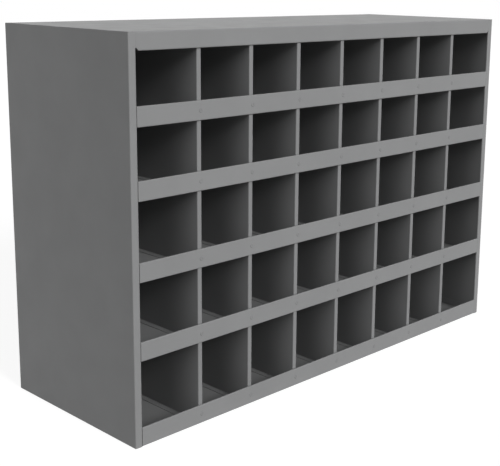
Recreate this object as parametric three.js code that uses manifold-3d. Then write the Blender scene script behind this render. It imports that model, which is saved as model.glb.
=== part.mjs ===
// Steel pigeonhole sorter: an open-fronted case of bent sheet, four lipped shelves and a row of
// upright dividers on every level. Millimetres, +Z up, the open front towards -Y. The origin is the
// middle of the base. Every piece is one blank of sheet, bent up and spot-welded to its neighbours.
import * as THREE from "three";
import { mergeVertices } from "three/addons/utils/BufferGeometryUtils.js";
import Module from "manifold-3d";

const wasm = await Module();
wasm.setup();

// Compartments: the step by which the rows grow, how many steps taller than the top row each row is
// (from the top down), and the spacing of the dividers.
const rowGrowth = 12.7;
const growthSteps = [0, 0, 1, 1, 2];
const columnCount = 8;
const columnPitch = 101.6;
const endMargin = 22.2;

// Case.
const caseHeight = 584.2;
const caseDepth = 304.8;
const caseSheet = 0.9;
const backSheet = 0.75;
const apronHeight = 25.4;
const apronClip = 5;
const stileWidth = 12;
const rearFlange = 12;
const panelFlange = 12;

// Shelves, the floor's lip included.
const shelfSheet = 0.75;
const lipHeight = 28.6;
const shelfFlange = 12;
const cornerRelief = 3;

// Dividers.
const dividerSheet = 0.6;
const dividerFlange = 10;
const dividerNoseWidth = 7.9;
const noseReturn = 8;
const flangeSetback = 4;

// Folding: inner radius of a plain bend and of an open hem, and how far a hem folds back.
const bendRadius = 0.8;
const hemRadius = 0.8;
const hemLength = 8;

// Paint-filled seams between two pieces, where they lap and where they meet edge to edge.
const seam = 0.3;
const buttSeam = 0.1;

// Facets in each bend.
const arcSteps = 4;

// Sizes that follow from those above; rows are counted from the top down.
const rowCount = growthSteps.length;
const growthInAll = rowGrowth * growthSteps.reduce((sum, steps) => sum + steps);
const topRowPitch = (caseHeight - apronHeight - growthInAll) / rowCount;
const rowPitches = growthSteps.map((steps) => topRowPitch + steps * rowGrowth);
const caseWidth = columnCount * columnPitch + 2 * endMargin;
const halfWidth = caseWidth / 2;
const frontFace = -caseDepth / 2;
const rearFace = caseDepth / 2;
const sideInner = halfWidth - caseSheet;
const apronBottom = caseHeight - apronHeight;

const thickestLip = Math.max(shelfSheet, caseSheet);
const behindStile = frontFace + caseSheet + seam;
const behindHems = frontFace + Math.max(hemDepth(thickestLip), thickestLip + bendRadius);
const backFront = rearFace - caseSheet - seam - backSheet;
const trayBack = backFront - seam;
const trayHalf = sideInner - seam;
const rearHalf = trayHalf - Math.max(cornerRelief, bendRadius);
const lipHalf = halfWidth - stileWidth - buttSeam;
const panelHalf = halfWidth - Math.max(stileWidth, rearFlange) - buttSeam;

const dividerFront = behindHems + seam;
const dividerBack = trayBack - shelfSheet - bendRadius - seam;

// Grey baked enamel, a shade deeper on the dividers than on the case.
const caseEnamel = { color: 0x87898a, roughness: 0.45, metalness: 0.0 };
const dividerEnamel = { color: 0x808283, roughness: 0.5, metalness: 0.0 };

// Depth of a hem from its outer face to the back of the folded leg.
function hemDepth(sheet) {
  return 2 * sheet + 2 * hemRadius;
}

// Underside of the shelf below a row, counted from the top; the last row stands on the floor.
function levelBelow(row) {
  return rowPitches.slice(0, row + 1).reduce((level, pitch) => level - pitch, apronBottom);
}

// Outline of a strip of sheet that follows a path of corners through its mid-plane. A corner is
// [u, v] or [u, v, inner radius]; ends stay square.
function bentOutline(path, sheet) {
  const corners = path.map(([u, v]) => new THREE.Vector2(u, v));
  const left = [];
  const right = [];
  const add = (centre, normal, onLeft, onRight) => {
    left.push(centre.clone().addScaledVector(normal, onLeft));
    right.push(centre.clone().addScaledVector(normal, onRight));
  };
  const leftOf = (direction) => new THREE.Vector2(-direction.y, direction.x);
  const last = corners.length - 1;
  const heading = (i) => corners[i + 1].clone().sub(corners[i]).normalize();

  add(corners[0], leftOf(heading(0)), sheet / 2, -sheet / 2);
  for (let i = 1; i < last; i++) {
    const before = heading(i - 1);
    const turn = before.cross(heading(i)) > 0 ? 1 : -1;
    const angle = Math.acos(THREE.MathUtils.clamp(before.dot(heading(i)), -1, 1));
    const radius = (path[i][2] ?? bendRadius) + sheet / 2;
    const toCentre = leftOf(before).multiplyScalar(turn);
    const arcStart = corners[i].clone().addScaledVector(before, -radius * Math.tan(angle / 2));
    const centre = arcStart.addScaledVector(toCentre, radius);
    for (let step = 0; step <= arcSteps; step++) {
      const spoke = toCentre.clone().negate();
      spoke.rotateAround(new THREE.Vector2(), (turn * angle * step) / arcSteps);
      add(centre, spoke, radius - (turn * sheet) / 2, radius + (turn * sheet) / 2);
    }
  }
  add(corners[last], leftOf(heading(last - 1)), sheet / 2, -sheet / 2);
  return [...left, ...right.reverse()].filter(isNewPoint);
}

// Keeps an outline point unless it repeats the one before it, as where two bends meet in a hem.
function isNewPoint(point, index, points) {
  const previous = points[(index + points.length - 1) % points.length];
  return point.distanceTo(previous) > 1e-6;
}

// A closed solid: the outline in the plane of two axes, extruded along the third.
function extrude(outline, from, to, axes) {
  const geometry = new THREE.ExtrudeGeometry(new THREE.Shape(outline), {
    depth: to - from,
    bevelEnabled: false,
  });
  geometry.translate(0, 0, from);
  geometry.applyMatrix4(new THREE.Matrix4().makeBasis(...axes));
  geometry.deleteAttribute("normal");
  geometry.deleteAttribute("uv");
  const merged = mergeVertices(geometry, 1e-5);
  return new wasm.Manifold(
    new wasm.Mesh({
      numProp: 3,
      vertProperties: merged.attributes.position.array,
      triVerts: new Uint32Array(merged.index.array),
    }),
  );
}

const X = new THREE.Vector3(1, 0, 0);
const Y = new THREE.Vector3(0, 1, 0);
const Z = new THREE.Vector3(0, 0, 1);
const acrossX = (path, sheet, half) => extrude(bentOutline(path, sheet), -half, half, [Y, Z, X]);
const alongY = (path, sheet, from, to) => extrude(bentOutline(path, sheet), from, to, [Z, X, Y]);
const upZ = (path, sheet, from, to) => extrude(bentOutline(path, sheet), from, to, [X, Y, Z]);

// Welds the solids of one blank into a single body.
function joined(solids) {
  const solid = solids.reduce((whole, piece) => whole.add(piece));
  const { numVert, numProp, vertProperties, triVerts } = solid.getMesh();
  const positions = new Float32Array(numVert * 3);
  for (let i = 0; i < numVert; i++) {
    positions.set(vertProperties.subarray(i * numProp, i * numProp + 3), i * 3);
  }
  const geometry = new THREE.BufferGeometry();
  geometry.setAttribute("position", new THREE.BufferAttribute(positions, 3));
  geometry.setIndex(new THREE.BufferAttribute(new Uint32Array(triVerts), 1));
  geometry.computeVertexNormals();
  return geometry;
}

// One named piece of the sorter, set in its group at a place given by its own origin.
function addPiece(group, name, geometry, finish, x = 0, z = 0) {
  const mesh = new THREE.Mesh(geometry, new THREE.MeshStandardMaterial(finish));
  mesh.name = name;
  mesh.position.set(x, 0, z);
  group.add(mesh);
}

// Corners of a hem that folds a sheet back on itself at an edge: the leg's end and its two bends.
// All three are given from the edge, along the sheet and across it.
function hemCorners(sheet, leg = hemLength) {
  const across = sheet + 2 * hemRadius;
  return [
    [leg, across],
    [sheet / 2, across, hemRadius],
    [sheet / 2, 0, hemRadius],
  ];
}

// Side panel: a wall with a hemmed stile turned inwards at the front and a flange turned in at the
// rear. The hem's folded leg stops short of the wall, and above the hem the apron meets a plain edge.
function sidePanel(side) {
  const wall = side * (halfWidth - caseSheet / 2);
  const front = frontFace + caseSheet / 2;
  const rear = rearFace - caseSheet / 2;
  const edge = halfWidth - stileWidth;
  const leg = Math.min(hemLength, stileWidth - caseSheet - seam);
  const hem = hemCorners(caseSheet, leg).map(([out, back, radius]) => {
    return [side * (edge + out), front + back, radius];
  });
  const rest = [
    [wall, front],
    [wall, rear],
    [side * (halfWidth - rearFlange), rear],
  ];
  const hemTop = apronBottom + apronClip;
  return joined([
    upZ([...hem, ...rest], caseSheet, 0, hemTop),
    upZ([[side * edge, front], ...rest], caseSheet, hemTop - caseSheet, caseHeight),
  ]);
}

// End flanges of a tray: the sheet runs out to both side panels and turns up or down there.
function endFlanges(sheet, middle, inner, front, rear, reach) {
  const wall = trayHalf - sheet / 2;
  return [-1, 1].map((side) => {
    const path = [
      [middle, side * (inner - cornerRelief)],
      [middle, side * wall],
      [middle + reach, side * wall],
    ];
    return alongY(path, sheet, front, rear);
  });
}

// Wedge that clips the lower corner of the apron beside a stile.
function apronCut(side) {
  const spare = caseSheet;
  const low = apronBottom - spare;
  const outer = side * (panelHalf + spare);
  const outline = [
    [low, outer],
    [low, side * (panelHalf - apronClip - spare)],
    [apronBottom + apronClip + spare, outer],
  ].map(([z, x]) => new THREE.Vector2(z, x));
  return extrude(outline, frontFace - spare, frontFace + hemDepth(caseSheet) + spare, [Z, X, Y]);
}

// Top panel: hemmed apron at the front between the stiles, flanges down the sides and the rear.
function topPanel() {
  const middle = caseHeight - caseSheet / 2;
  const front = frontFace + caseSheet / 2;
  const rear = rearFace - caseSheet / 2;
  const hem = hemCorners(caseSheet).map(([up, back, radius]) => [front + back, apronBottom + up, radius]);
  const path = [...hem, [front, middle], [rear, middle], [rear, caseHeight - rearFlange]];
  const drop = caseSheet / 2 - panelFlange;
  const flanges = endFlanges(caseSheet, middle, panelHalf, behindStile, trayBack, drop);
  const panel = acrossX(path, caseSheet, panelHalf).subtract(apronCut(-1)).subtract(apronCut(1));
  return joined([panel, ...flanges]);
}

// Front half of a shelf or of the floor: hemmed lip between the stiles, then the flat sheet.
function lippedFront(sheet) {
  const front = frontFace + sheet / 2;
  const hem = hemCorners(sheet).map(([down, back, radius]) => [front + back, lipHeight - down, radius]);
  const path = [...hem, [front, sheet / 2], [cornerRelief, sheet / 2]];
  return acrossX(path, sheet, lipHalf);
}

// Floor of the case: lip at the front, flanges turned up at the sides and between the rear flanges.
function bottomPanel() {
  const middle = caseSheet / 2;
  const rear = rearFace - caseSheet / 2;
  const rearPath = [
    [0, middle],
    [rear, middle],
    [rear, rearFlange],
  ];
  const front = behindHems + cornerRelief;
  return joined([
    lippedFront(caseSheet),
    acrossX(rearPath, caseSheet, panelHalf),
    ...endFlanges(caseSheet, middle, panelHalf, front, trayBack, panelFlange - caseSheet / 2),
  ]);
}

// Back panel: a flat sheet held against the inside of the rear flanges.
function backPanel() {
  const inset = caseSheet + bendRadius + seam;
  const middle = backFront + backSheet / 2;
  const path = [
    [middle, inset],
    [middle, caseHeight - inset],
  ];
  return joined([acrossX(path, backSheet, halfWidth - inset)]);
}

// Shelf: lip at the front, flanges turned down along the side panels and the back panel.
function shelf() {
  const middle = shelfSheet / 2;
  const rear = trayBack - shelfSheet / 2;
  const rearPath = [
    [0, middle],
    [rear, middle],
    [rear, shelfSheet - shelfFlange],
  ];
  const frontEnd = behindHems + cornerRelief;
  const rearEnd = trayBack - cornerRelief;
  return joined([
    lippedFront(shelfSheet),
    acrossX(rearPath, shelfSheet, rearHalf),
    ...endFlanges(shelfSheet, middle, lipHalf, frontEnd, rearEnd, shelfSheet / 2 - shelfFlange),
  ]);
}

// Divider: a web folded round a flat nose at the front, with weld flanges along its top and bottom.
// Its origin is the foot of the web, on the middle of the nose.
function divider(height) {
  const web = (dividerSheet - dividerNoseWidth) / 2;
  const noseLine = dividerFront + dividerSheet / 2;
  const flangeStart = dividerFront + noseReturn + flangeSetback;
  const nosePath = [
    [-web, dividerFront + noseReturn],
    [-web, noseLine],
    [web, noseLine],
    [web, flangeStart + flangeSetback],
  ];
  const flangeEnd = web + dividerSheet / 2 - dividerFlange;
  const channelPath = [
    [dividerSheet / 2, flangeEnd],
    [dividerSheet / 2, web],
    [height - dividerSheet / 2, web],
    [height - dividerSheet / 2, flangeEnd],
  ];
  return joined([
    upZ(nosePath, dividerSheet, 0, height),
    alongY(channelPath, dividerSheet, flangeStart, dividerBack),
  ]);
}

const sorter = new THREE.Group();
const box = new THREE.Group();
sorter.add(box);
addPiece(box, "left_side_panel", sidePanel(-1), caseEnamel);
addPiece(box, "right_side_panel", sidePanel(1), caseEnamel);
addPiece(box, "top_panel", topPanel(), caseEnamel);
addPiece(box, "bottom_panel", bottomPanel(), caseEnamel);
addPiece(box, "back_panel", backPanel(), caseEnamel);

// One group per row, standing at the underside of the sheet that carries the row.
for (let row = 0; row < rowCount; row++) {
  const level = levelBelow(row);
  const onFloor = row === rowCount - 1;
  const ceiling = row === 0 ? caseHeight - caseSheet : levelBelow(row - 1);
  const foot = (onFloor ? caseSheet : shelfSheet) + seam;
  const rowGroup = new THREE.Group();
  rowGroup.position.z = level;
  sorter.add(rowGroup);
  if (!onFloor) addPiece(rowGroup, `shelf_${row + 1}`, shelf(), caseEnamel);
  const web = divider(ceiling - level - foot - seam);
  for (let column = 1; column < columnCount; column++) {
    const x = (column - columnCount / 2) * columnPitch;
    addPiece(rowGroup, `divider_row${row + 1}_${column}`, web, dividerEnamel, x, foot);
  }
}

export default sorter;
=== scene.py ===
"""Looks of a grey steel pigeonhole sorter: baked enamel, spot-weld marks, studio stage and camera."""

import math

import bmesh
import bpy
from bpy.props import FloatProperty, FloatVectorProperty, PointerProperty
from mathutils import Matrix, Vector


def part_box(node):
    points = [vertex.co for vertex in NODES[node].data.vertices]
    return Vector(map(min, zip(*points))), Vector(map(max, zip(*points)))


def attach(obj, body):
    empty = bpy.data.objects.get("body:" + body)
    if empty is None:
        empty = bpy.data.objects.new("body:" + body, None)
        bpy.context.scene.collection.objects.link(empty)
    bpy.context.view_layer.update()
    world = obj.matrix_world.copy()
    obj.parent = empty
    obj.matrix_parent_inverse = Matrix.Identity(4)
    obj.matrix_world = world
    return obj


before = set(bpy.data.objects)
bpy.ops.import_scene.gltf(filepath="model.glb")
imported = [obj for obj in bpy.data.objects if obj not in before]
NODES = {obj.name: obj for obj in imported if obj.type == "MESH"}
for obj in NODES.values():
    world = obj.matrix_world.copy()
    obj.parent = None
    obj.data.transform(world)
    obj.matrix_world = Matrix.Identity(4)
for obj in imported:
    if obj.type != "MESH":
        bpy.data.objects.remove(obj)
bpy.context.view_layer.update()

bl_info = {
    "name": "Pigeonhole Sorter Looks",
    "version": (1, 0, 0),
    "blender": (4, 5, 0),
    "location": "View3D > Sidebar > Sorter",
    "description": "Enamels a steel pigeonhole sorter, marks its spot welds and sets it on a studio stage",
    "category": "Object",
}

CASE_PIECES = sorted(name for name in NODES if not name.startswith("divider"))
DIVIDERS = sorted(name for name in NODES if name.startswith("divider"))
SHELVES = sorted(name for name in NODES if name.startswith("shelf"))
LIPPED_PIECES = [*SHELVES, "bottom_panel"]

# Sizes of the steelwork that the weld marks are set by, in metres.
LIP_HEIGHT = 0.0286
NOSE_WIDTH = 0.0079
SHELF_FLANGE = 0.012
BACK_INSET = 0.03
TO_FRONT = Vector((0, -1, 0))
TO_BACK = Vector((0, 1, 0))

# A weld mark from its edge to its middle: shares of its radius and of its crest.
MARK_PROFILE = ((1.0, -0.1), (0.82, 0.9), (0.62, 1.0), (0.38, 0.45))
MARK_MIDDLE = 0.3
MARK_SIDES = 20

# Enamel: its sheen, and the part of a noise's range that its unevenness is drawn from.
SHEEN = 0.32
NOISE_LOW = 0.3
NOISE_HIGH = 0.7

# Clouds in the enamel's colour and smears in its gloss: how many to a metre, how grainy, how far they stray.
CLOUD_SCALE = 7.0
CLOUD_GRAIN = 0.68
CLOUD_STRAY = 0.04
SMEAR_SCALE = 24.0
SMEAR_STRAY = 0.05

# The floor in metres: half its width, and how far it lies below the sorter.
FLOOR_REACH = 12.0
FLOOR_DROP = 0.0004
FLOOR_ROUGHNESS = 0.9
WHITE = (1.0, 1.0, 1.0, 1.0)

# The camera's sensor in millimetres and the picture that it frames in pixels.
SENSOR_WIDTH = 36.0
PICTURE_WIDTH = 500

# Lights in degrees: heading from straight ahead round to the left, height above the floor, width.
KEY_LIGHT = (3, 29, 20)
SIDE_LIGHT = (70, 25, 30)
LOW_LIGHT = (-8, 6, 25)
FILL_LIGHT = (205, 10, 60)
LAMP_DISTANCE = 3.0


class EnamelSettings(bpy.types.PropertyGroup):
    """Colour and surface of the baked enamel."""

    case_colour: FloatVectorProperty(
        name="Case colour",
        description="Grey of the case and the shelves",
        subtype="COLOR",
        min=0.0,
        max=1.0,
        default=(0.252, 0.254, 0.256),
    )
    # The dividers' grey is the case's enamel made deeper: painted shade that darkens the insides of the
    # compartments.
    divider_shaded_colour: FloatVectorProperty(
        name="Divider colour",
        description="Grey of the dividers, a shade deeper than the case",
        subtype="COLOR",
        min=0.0,
        max=1.0,
        default=(0.235, 0.237, 0.239),
    )
    gloss_roughness: FloatProperty(
        name="Roughness",
        description="Middle roughness of the satin enamel",
        subtype="FACTOR",
        min=0.0,
        max=1.0,
        default=0.52,
    )
    peel_size: FloatProperty(
        name="Orange peel size",
        description="Width of one ripple in the sprayed enamel",
        unit="LENGTH",
        min=0.0002,
        max=0.02,
        default=0.0022,
    )
    peel_depth: FloatProperty(
        name="Orange peel depth",
        description="Height of the ripples in the sprayed enamel",
        unit="LENGTH",
        min=0.0,
        max=0.001,
        default=0.00002,
    )


class WeldSettings(bpy.types.PropertyGroup):
    """Marks that spot welds leave under the enamel: real dimples and rims, with painted shade in their
    deeper grey.
    """

    diameter: FloatProperty(
        name="Diameter",
        description="Width of a spot-weld mark",
        unit="LENGTH",
        min=0.001,
        max=0.02,
        default=0.007,
    )
    crest: FloatProperty(
        name="Crest",
        description="Height of the rim round a spot-weld mark",
        unit="LENGTH",
        min=0.00002,
        max=0.001,
        default=0.00025,
    )
    # The marks' deeper grey is painted shade that stands in for the shading of their dimples.
    shade: FloatProperty(
        name="Shade",
        description="Brightness of the enamel in a mark as a share of the case colour",
        subtype="FACTOR",
        min=0.0,
        max=1.0,
        default=0.93,
    )
    spacing: FloatProperty(
        name="Spacing",
        description="Distance between the welds in a row across the back panel",
        unit="LENGTH",
        min=0.02,
        max=0.5,
        default=0.085,
    )


class StageSettings(bpy.types.PropertyGroup):
    """Light, floor and camera."""

    floor_colour: FloatVectorProperty(
        name="Floor colour",
        description="Pale floor under the sorter",
        subtype="COLOR",
        min=0.0,
        max=1.0,
        default=(0.32, 0.32, 0.32),
    )
    floor_glow: FloatProperty(
        name="Floor glow",
        description="White that the eye sees in the floor on top of its own colour",
        min=0.0,
        max=1.0,
        default=0.84,
    )
    sky_strength: FloatProperty(
        name="Sky strength",
        description="Even light from all round",
        min=0.0,
        max=3.0,
        default=0.18,
    )
    key_strength: FloatProperty(
        name="Key strength",
        description="Soft light from above the front, in watts per square metre",
        min=0.0,
        max=20.0,
        default=1.95,
    )
    side_strength: FloatProperty(
        name="Side strength",
        description="Soft light from the front left, in watts per square metre",
        min=0.0,
        max=20.0,
        default=0.58,
    )
    low_strength: FloatProperty(
        name="Low strength",
        description="Soft level light that reaches into the compartments, in watts per square metre",
        min=0.0,
        max=20.0,
        default=0.5,
    )
    fill_strength: FloatProperty(
        name="Fill strength",
        description="Soft light on the back and the right side, in watts per square metre",
        min=0.0,
        max=20.0,
        default=0.95,
    )
    camera_place: FloatVectorProperty(
        name="Camera place",
        description="Where the camera stands",
        subtype="TRANSLATION",
        unit="LENGTH",
        default=(-1.2212, -1.2081, 0.6529),
    )
    camera_heading: FloatProperty(
        name="Heading",
        description="Turn of the view from straight ahead to the right",
        subtype="ANGLE",
        default=math.radians(46.16),
    )
    camera_tilt: FloatProperty(
        name="Tilt",
        description="Downward tilt of the view",
        subtype="ANGLE",
        default=math.radians(11.53),
    )
    camera_roll: FloatProperty(
        name="Roll",
        description="Turn of the camera about its view",
        subtype="ANGLE",
        default=math.radians(0.77),
    )
    focal_pixels: FloatProperty(
        name="Focal length in pixels",
        description="Focal length measured in pixels of the picture",
        min=100.0,
        max=5000.0,
        default=995.8,
    )
    shift: FloatVectorProperty(
        name="Shift",
        description="Shift of the lens as a share of the picture's width",
        size=2,
        default=(-0.08, -0.1),
    )


# Enamel


def add_noise(nodes, links, coordinates, scale, detail):
    """A noise texture over object space; scale is ripples per metre."""
    noise = nodes.new("ShaderNodeTexNoise")
    noise.inputs["Scale"].default_value = scale
    noise.inputs["Detail"].default_value = detail
    links.new(coordinates.outputs["Object"], noise.inputs["Vector"])
    return noise


def add_range(nodes, links, source, low, high):
    """Spreads the middle of a noise over the range from low to high."""
    spread = nodes.new("ShaderNodeMapRange")
    spread.inputs["From Min"].default_value = NOISE_LOW
    spread.inputs["From Max"].default_value = NOISE_HIGH
    spread.inputs["To Min"].default_value = low
    spread.inputs["To Max"].default_value = high
    links.new(source, spread.inputs["Value"])
    return spread.outputs["Result"]


def shaded(colour, share):
    """An opaque shade of a colour, brighter or deeper by the given share."""
    return (*(share * channel for channel in colour), 1.0)


def make_enamel(name, colour, settings):
    """Satin baked enamel with faint clouding, uneven gloss and orange peel."""
    material = bpy.data.materials.new(name)
    material.use_nodes = True
    nodes = material.node_tree.nodes
    links = material.node_tree.links
    shader = nodes["Principled BSDF"]
    shader.inputs["IOR"].default_value = 1.5
    shader.inputs["Specular IOR Level"].default_value = SHEEN
    coordinates = nodes.new("ShaderNodeTexCoord")

    clouds = add_noise(nodes, links, coordinates, CLOUD_SCALE, detail=5.0)
    clouds.inputs["Roughness"].default_value = CLOUD_GRAIN
    shade = nodes.new("ShaderNodeValToRGB")
    deep, bright = shade.color_ramp.elements
    deep.position = NOISE_LOW
    deep.color = shaded(colour, 1 - CLOUD_STRAY)
    bright.position = NOISE_HIGH
    bright.color = shaded(colour, 1 + CLOUD_STRAY)
    links.new(clouds.outputs["Fac"], shade.inputs["Fac"])
    links.new(shade.outputs["Color"], shader.inputs["Base Color"])

    smears = add_noise(nodes, links, coordinates, SMEAR_SCALE, detail=4.0)
    smooth = settings.gloss_roughness - SMEAR_STRAY
    dull = settings.gloss_roughness + SMEAR_STRAY
    roughness = add_range(nodes, links, smears.outputs["Fac"], smooth, dull)
    links.new(roughness, shader.inputs["Roughness"])

    peel = add_noise(nodes, links, coordinates, 1.0 / settings.peel_size, detail=1.0)
    bump = nodes.new("ShaderNodeBump")
    bump.inputs["Distance"].default_value = settings.peel_depth
    links.new(peel.outputs["Fac"], bump.inputs["Height"])
    links.new(bump.outputs["Normal"], shader.inputs["Normal"])
    return material


def enamel_pieces(names, material):
    """Gives every named steel piece the enamel."""
    for name in names:
        NODES[name].data.materials.clear()
        NODES[name].data.materials.append(material)


# Spot welds


def add_mark(mesh, centre, outward, settings):
    """A shallow round mark with a rim and a dimple, closed underneath and sunk a hair into the sheet."""
    radius = settings.diameter / 2
    across = outward.orthogonal().normalized()
    along = outward.cross(across)
    rings = []
    for share, height in MARK_PROFILE:
        ring = []
        for step in range(MARK_SIDES):
            angle = 2 * math.pi * step / MARK_SIDES
            spoke = across * math.cos(angle) + along * math.sin(angle)
            place = centre + spoke * radius * share + outward * settings.crest * height
            ring.append(mesh.verts.new(place))
        rings.append(ring)
    mesh.faces.new(reversed(rings[0]))
    for outer, inner in zip(rings, rings[1:]):
        for step in range(MARK_SIDES):
            after = (step + 1) % MARK_SIDES
            mesh.faces.new((outer[step], outer[after], inner[after], inner[step]))
    middle = mesh.verts.new(centre + outward * settings.crest * MARK_MIDDLE)
    for step in range(MARK_SIDES):
        after = (step + 1) % MARK_SIDES
        mesh.faces.new((rings[-1][step], rings[-1][after], middle))


def add_marks(name, places, outward, material, settings):
    """One object that holds all the weld marks on one kind of sheet."""
    mesh = bmesh.new()
    for place in places:
        add_mark(mesh, Vector(place), outward, settings)
    data = bpy.data.meshes.new(name)
    mesh.to_mesh(data)
    mesh.free()
    for face in data.polygons:
        face.use_smooth = face.normal.dot(outward) > 0
    data.materials.append(material)
    marks = bpy.data.objects.new(name, data)
    bpy.context.scene.collection.objects.link(marks)
    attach(marks, "root")


def divider_line(name):
    """Where the middle of a divider's nose stands across the case."""
    _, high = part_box(name)
    return high.x - NOSE_WIDTH / 2


def lip_weld_places():
    """On every lip, one weld in front of each divider that stands on its tray."""
    places = []
    for row, piece in enumerate(LIPPED_PIECES, start=1):
        low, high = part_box(piece)
        for divider in DIVIDERS:
            if divider.startswith(f"divider_row{row}_"):
                places.append((divider_line(divider), low.y, high.z - LIP_HEIGHT / 2))
    return places


def evenly(low, high, spacing):
    """Places from low to high that are about one spacing apart."""
    count = max(1, round((high - low) / spacing))
    return [low + (high - low) * step / count for step in range(count + 1)]


def back_weld_places(settings):
    """Rows of welds on the back panel where the shelves' rear flanges meet it."""
    low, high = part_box("back_panel")
    places = []
    for shelf in SHELVES:
        flange_low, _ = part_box(shelf)
        level = flange_low.z + SHELF_FLANGE / 2
        for x in evenly(low.x + BACK_INSET, high.x - BACK_INSET, settings.spacing):
            places.append((x, high.y, level))
    return places


class SORTER_OT_enamel_case(bpy.types.Operator):
    """Enamel the panels of the case and the shelves"""

    bl_idname = "sorter.enamel_case"
    bl_label = "Enamel Case"

    def execute(self, context):
        settings = context.scene.sorter_enamel
        enamel_pieces(CASE_PIECES, make_enamel("Panel enamel", settings.case_colour, settings))
        return {"FINISHED"}


class SORTER_OT_enamel_dividers(bpy.types.Operator):
    """Enamel the dividers"""

    bl_idname = "sorter.enamel_dividers"
    bl_label = "Enamel Dividers"

    def execute(self, context):
        settings = context.scene.sorter_enamel
        # The dividers take the deeper grey, which is painted shade inside the compartments.
        enamel_pieces(DIVIDERS, make_enamel("Divider shaded enamel", settings.divider_shaded_colour, settings))
        return {"FINISHED"}


class SORTER_OT_mark_welds(bpy.types.Operator):
    """Mark the spot welds on the lips and on the back panel"""

    bl_idname = "sorter.mark_welds"
    bl_label = "Mark Spot Welds"

    def execute(self, context):
        settings = context.scene.sorter_welds
        enamel = context.scene.sorter_enamel
        # The marks' enamel is the case grey made deeper: painted shade for the dimples.
        colour = [settings.shade * channel for channel in enamel.case_colour]
        material = make_enamel("Weld shaded enamel", colour, enamel)
        add_marks("lip_weld_marks", lip_weld_places(), TO_FRONT, material, settings)
        add_marks("back_weld_marks", back_weld_places(settings), TO_BACK, material, settings)
        return {"FINISHED"}


# Stage


def whiten_for_camera(material, strength):
    """Adds a white glow that only the eye and reflections see, so the floor reads as white paper."""
    nodes = material.node_tree.nodes
    links = material.node_tree.links
    glow = nodes.new("ShaderNodeEmission")
    glow.inputs["Strength"].default_value = strength
    dark = nodes.new("ShaderNodeEmission")
    dark.inputs["Strength"].default_value = 0.0
    seen = nodes.new("ShaderNodeMixShader")
    links.new(seen_directly(nodes, links), seen.inputs["Fac"])
    links.new(dark.outputs["Emission"], seen.inputs[1])
    links.new(glow.outputs["Emission"], seen.inputs[2])
    both = nodes.new("ShaderNodeAddShader")
    links.new(nodes["Principled BSDF"].outputs["BSDF"], both.inputs[0])
    links.new(seen.outputs["Shader"], both.inputs[1])
    links.new(both.outputs["Shader"], nodes["Material Output"].inputs["Surface"])


def seen_directly(nodes, links):
    """One for camera, glossy and transmission rays, zero for the rays that carry light."""
    path = nodes.new("ShaderNodeLightPath")
    total = path.outputs["Is Camera Ray"]
    for kind in ("Is Glossy Ray", "Is Transmission Ray"):
        more = nodes.new("ShaderNodeMath")
        more.operation = "MAXIMUM"
        links.new(total, more.inputs[0])
        links.new(path.outputs[kind], more.inputs[1])
        total = more.outputs["Value"]
    return total


def make_floor(settings):
    """A wide pale floor that takes a soft shadow."""
    reach = FLOOR_REACH
    corners = [(-reach, -reach), (reach, -reach), (reach, reach), (-reach, reach)]
    data = bpy.data.meshes.new("floor")
    data.from_pydata([(x, y, -FLOOR_DROP) for x, y in corners], [], [(0, 1, 2, 3)])
    material = bpy.data.materials.new("Floor")
    material.use_nodes = True
    shader = material.node_tree.nodes["Principled BSDF"]
    shader.inputs["Base Color"].default_value = (*settings.floor_colour, 1.0)
    shader.inputs["Roughness"].default_value = FLOOR_ROUGHNESS
    shader.inputs["Specular IOR Level"].default_value = 0.0
    whiten_for_camera(material, settings.floor_glow)
    data.materials.append(material)
    floor = bpy.data.objects.new("floor", data)
    bpy.context.scene.collection.objects.link(floor)


def make_sky(settings):
    """White to the eye and in reflections, and a softer even light on the object."""
    world = bpy.data.worlds.new("Studio")
    world.use_nodes = True
    nodes = world.node_tree.nodes
    links = world.node_tree.links
    lit = nodes["Background"]
    lit.inputs["Color"].default_value = WHITE
    lit.inputs["Strength"].default_value = settings.sky_strength
    seen = nodes.new("ShaderNodeBackground")
    seen.inputs["Color"].default_value = WHITE
    seen.inputs["Strength"].default_value = 1.0
    mix = nodes.new("ShaderNodeMixShader")
    links.new(seen_directly(nodes, links), mix.inputs["Fac"])
    links.new(lit.outputs["Background"], mix.inputs[1])
    links.new(seen.outputs["Background"], mix.inputs[2])
    links.new(mix.outputs["Shader"], nodes["World Output"].inputs["Surface"])
    bpy.context.scene.world = world


def add_lamp(name, direction, strength):
    """A soft light from far off."""
    heading, height, width = (math.radians(angle) for angle in direction)
    light = bpy.data.lights.new(name, "SUN")
    light.energy = strength
    light.angle = width
    lamp = bpy.data.objects.new(name, light)
    level = math.cos(height)
    place = Vector((-math.sin(heading) * level, -math.cos(heading) * level, math.sin(height)))
    lamp.location = place * LAMP_DISTANCE
    lamp.rotation_euler = (-place).to_track_quat("-Z", "Y").to_euler()
    bpy.context.scene.collection.objects.link(lamp)
    return lamp


def light_object(settings):
    """Light on the front, into the compartments and on the left side, and a fill behind without glare."""
    add_lamp("key_lamp", KEY_LIGHT, settings.key_strength)
    add_lamp("side_lamp", SIDE_LIGHT, settings.side_strength)
    add_lamp("low_lamp", LOW_LIGHT, settings.low_strength)
    fill = add_lamp("fill_lamp", FILL_LIGHT, settings.fill_strength)
    fill.visible_glossy = False


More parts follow.
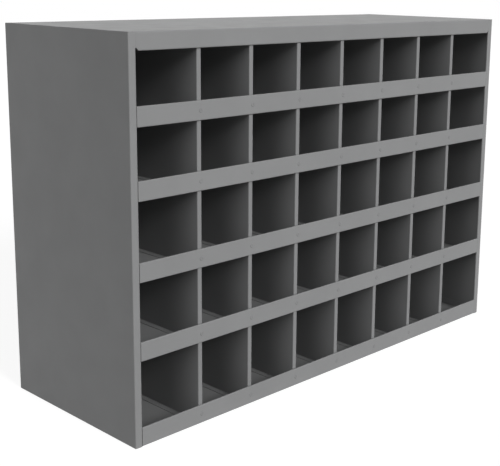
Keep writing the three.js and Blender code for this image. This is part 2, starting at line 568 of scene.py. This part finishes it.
def make_camera(settings):
    """A camera at the photograph's viewing angle."""
    data = bpy.data.cameras.new("Camera")
    data.sensor_width = SENSOR_WIDTH
    data.lens = settings.focal_pixels / PICTURE_WIDTH * data.sensor_width
    data.shift_x = settings.shift[0]
    data.shift_y = settings.shift[1]
    camera = bpy.data.objects.new("Camera", data)
    heading = Matrix.Rotation(-settings.camera_heading, 4, "Z")
    tilt = Matrix.Rotation(math.pi / 2 - settings.camera_tilt, 4, "X")
    roll = Matrix.Rotation(settings.camera_roll, 4, "Z")
    camera.matrix_world = Matrix.Translation(settings.camera_place) @ heading @ tilt @ roll
    bpy.context.scene.collection.objects.link(camera)
    bpy.context.scene.camera = camera


class SORTER_OT_set_stage(bpy.types.Operator):
    """Set up the floor, the light and the camera"""

    bl_idname = "sorter.set_stage"
    bl_label = "Set Stage"

    def execute(self, context):
        settings = context.scene.sorter_stage
        make_floor(settings)
        make_sky(settings)
        light_object(settings)
        make_camera(settings)
        context.scene.view_settings.view_transform = "Standard"
        return {"FINISHED"}


class SORTER_PT_looks(bpy.types.Panel):
    """Lists the steps that dress the sorter"""

    bl_idname = "SORTER_PT_looks"
    bl_label = "Pigeonhole Sorter"
    bl_space_type = "VIEW_3D"
    bl_region_type = "UI"
    bl_category = "Sorter"

    def draw(self, context):
        groups = (context.scene.sorter_enamel, context.scene.sorter_welds, context.scene.sorter_stage)
        for group in groups:
            box = self.layout.box()
            for name in group.__annotations__:
                box.prop(group, name)
        for operator in OPERATORS:
            self.layout.operator(operator.bl_idname)


OPERATORS = (
    SORTER_OT_enamel_case,
    SORTER_OT_enamel_dividers,
    SORTER_OT_mark_welds,
    SORTER_OT_set_stage,
)
CLASSES = (EnamelSettings, WeldSettings, StageSettings, *OPERATORS, SORTER_PT_looks)


def register():
    for cls in CLASSES:
        bpy.utils.register_class(cls)
    bpy.types.Scene.sorter_enamel = PointerProperty(type=EnamelSettings)
    bpy.types.Scene.sorter_welds = PointerProperty(type=WeldSettings)
    bpy.types.Scene.sorter_stage = PointerProperty(type=StageSettings)


def unregister():
    del bpy.types.Scene.sorter_stage
    del bpy.types.Scene.sorter_welds
    del bpy.types.Scene.sorter_enamel
    for cls in reversed(CLASSES):
        bpy.utils.unregister_class(cls)


def main():
    register()
    bpy.ops.sorter.enamel_case()
    bpy.ops.sorter.enamel_dividers()
    bpy.ops.sorter.mark_welds()
    bpy.ops.sorter.set_stage()


if __name__ == "__main__":
    main()
